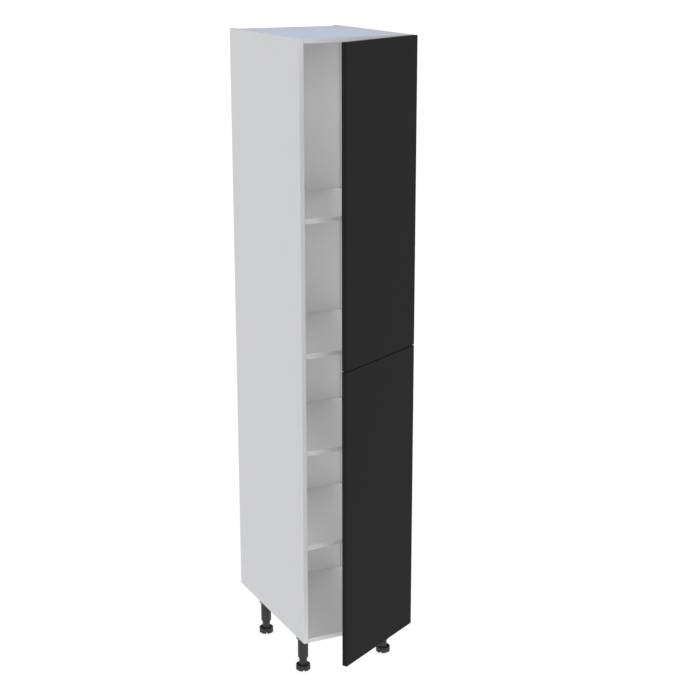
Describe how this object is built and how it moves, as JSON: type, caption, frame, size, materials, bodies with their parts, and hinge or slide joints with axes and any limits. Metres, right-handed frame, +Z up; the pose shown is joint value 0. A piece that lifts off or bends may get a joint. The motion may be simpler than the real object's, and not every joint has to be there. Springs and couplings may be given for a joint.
{
  "type": "pantry cabinet",
  "caption": "Tall free-standing pantry cabinet with two right-hung doors standing ajar, shelves inside and screw-adjustable legs.",
  "frame": {"origin": "on the floor, in the middle of the plan outline that the carcass and the doors standing ajar make together", "axes": "+Z up, -Y towards the front (the door side), +X to the right as seen from the front, which is the hinge side"},
  "size_m": [0.4021, 0.7718, 2.166],
  "materials": {
    "carcass_board": "satin light grey melamine on chipboard",
    "back_board": "light grey lacquered hardboard",
    "door_front": "matt near-black lacquer on fibreboard",
    "hinge_nickel": "nickel plated",
    "hinge_zinc": "zinc plated",
    "leg_plastic": "black moulded plastic"
  },
  "bodies": {
    "root": {"back_panel": "back_board", "bottom_panel": "carcass_board", "fixed_shelf": "carcass_board", "front_left_leg_socket": "leg_plastic", "front_left_leg_tube": "leg_plastic", "front_right_leg_socket": "leg_plastic", "front_right_leg_tube": "leg_plastic", "left_side_panel": "carcass_board", "lower_adjustable_shelf": "carcass_board", "lower_hinge_arm_1": "hinge_nickel", "lower_hinge_arm_2": "hinge_nickel", "lower_hinge_arm_3": "hinge_nickel", "middle_adjustable_shelf": "carcass_board", "rear_left_leg_socket": "leg_plastic", "rear_left_leg_tube": "leg_plastic", "rear_right_leg_socket": "leg_plastic", "rear_right_leg_tube": "leg_plastic", "right_side_panel": "carcass_board", "shelf_pin_lower_left_front": "hinge_nickel", "shelf_pin_lower_left_rear": "hinge_nickel", "shelf_pin_lower_right_front": "hinge_nickel", "shelf_pin_lower_right_rear": "hinge_nickel", "shelf_pin_middle_left_front": "hinge_nickel", "shelf_pin_middle_left_rear": "hinge_nickel", "shelf_pin_middle_right_front": "hinge_nickel", "shelf_pin_middle_right_rear": "hinge_nickel", "shelf_pin_upper_left_front": "hinge_nickel", "shelf_pin_upper_left_rear": "hinge_nickel", "shelf_pin_upper_right_front": "hinge_nickel", "shelf_pin_upper_right_rear": "hinge_nickel", "top_panel": "carcass_board", "upper_adjustable_shelf": "carcass_board", "upper_hinge_arm_1": "hinge_nickel", "upper_hinge_arm_2": "hinge_nickel", "upper_hinge_arm_3": "hinge_nickel"},
    "upper_inner_links": {"upper_inner_link_1": "hinge_zinc", "upper_inner_link_2": "hinge_zinc", "upper_inner_link_3": "hinge_zinc"},
    "upper_outer_links": {"upper_outer_link_1": "hinge_zinc", "upper_outer_link_2": "hinge_zinc", "upper_outer_link_3": "hinge_zinc"},
    "upper_door": {"upper_door": "door_front", "upper_hinge_cup_1": "hinge_nickel", "upper_hinge_cup_2": "hinge_nickel", "upper_hinge_cup_3": "hinge_nickel"},
    "lower_inner_links": {"lower_inner_link_1": "hinge_zinc", "lower_inner_link_2": "hinge_zinc", "lower_inner_link_3": "hinge_zinc"},
    "lower_outer_links": {"lower_outer_link_1": "hinge_zinc", "lower_outer_link_2": "hinge_zinc", "lower_outer_link_3": "hinge_zinc"},
    "lower_door": {"lower_door": "door_front", "lower_hinge_cup_1": "hinge_nickel", "lower_hinge_cup_2": "hinge_nickel", "lower_hinge_cup_3": "hinge_nickel"},
    "front_left_foot": {"front_left_leg_foot": "leg_plastic"},
    "front_right_foot": {"front_right_leg_foot": "leg_plastic"},
    "rear_left_foot": {"rear_left_leg_foot": "leg_plastic"},
    "rear_right_foot": {"rear_right_leg_foot": "leg_plastic"}
  },
  "joints": [
    {"name": "upper_inner_links_swing", "type": "hinge", "parent": "root", "child": "upper_inner_links", "pos_m": [0.1635, -0.18336, 1.663], "axis": [0, 0, 1], "range_deg": [-20.56, 8.86]},
    {"name": "upper_door_swing", "type": "hinge", "parent": "upper_inner_links", "child": "upper_door", "pos_m": [0.18737, -0.18606, 1.663], "axis": [0, 0, 1], "range_deg": [-38.35, 89.05]},
    {"name": "upper_outer_links_swing", "type": "hinge", "parent": "root", "child": "upper_outer_links", "pos_m": [0.164, -0.17466, 1.663], "axis": [0, 0, 1], "range_deg": [-34.26, 14.76]},
    {"name": "lower_inner_links_swing", "type": "hinge", "parent": "root", "child": "lower_inner_links", "pos_m": [0.1635, -0.18336, 0.655], "axis": [0, 0, 1], "range_deg": [-20.56, 8.86]},
    {"name": "lower_door_swing", "type": "hinge", "parent": "lower_inner_links", "child": "lower_door", "pos_m": [0.18737, -0.18606, 0.655], "axis": [0, 0, 1], "range_deg": [-38.35, 89.05]},
    {"name": "lower_outer_links_swing", "type": "hinge", "parent": "root", "child": "lower_outer_links", "pos_m": [0.164, -0.17466, 0.655], "axis": [0, 0, 1], "range_deg": [-34.26, 14.76]},
    {"name": "front_left_foot_height", "type": "slide", "parent": "root", "child": "front_left_foot", "axis": [0, 0, 1], "range_m": [-0.015, 0.015]},
    {"name": "front_right_foot_height", "type": "slide", "parent": "root", "child": "front_right_foot", "axis": [0, 0, 1], "range_m": [-0.015, 0.015]},
    {"name": "rear_left_foot_height", "type": "slide", "parent": "root", "child": "rear_left_foot", "axis": [0, 0, 1], "range_m": [-0.015, 0.015]},
    {"name": "rear_right_foot_height", "type": "slide", "parent": "root", "child": "rear_right_foot", "axis": [0, 0, 1], "range_m": [-0.015, 0.015]}
  ],
  "couplings": [
    {"joint": "upper_inner_links_swing", "follows": "upper_door_swing", "ratio": -0.23077},
    {"joint": "upper_outer_links_swing", "follows": "upper_door_swing", "ratio": -0.38462},
    {"joint": "lower_inner_links_swing", "follows": "lower_door_swing", "ratio": -0.23077},
    {"joint": "lower_outer_links_swing", "follows": "lower_door_swing", "ratio": -0.38462}
  ]
}
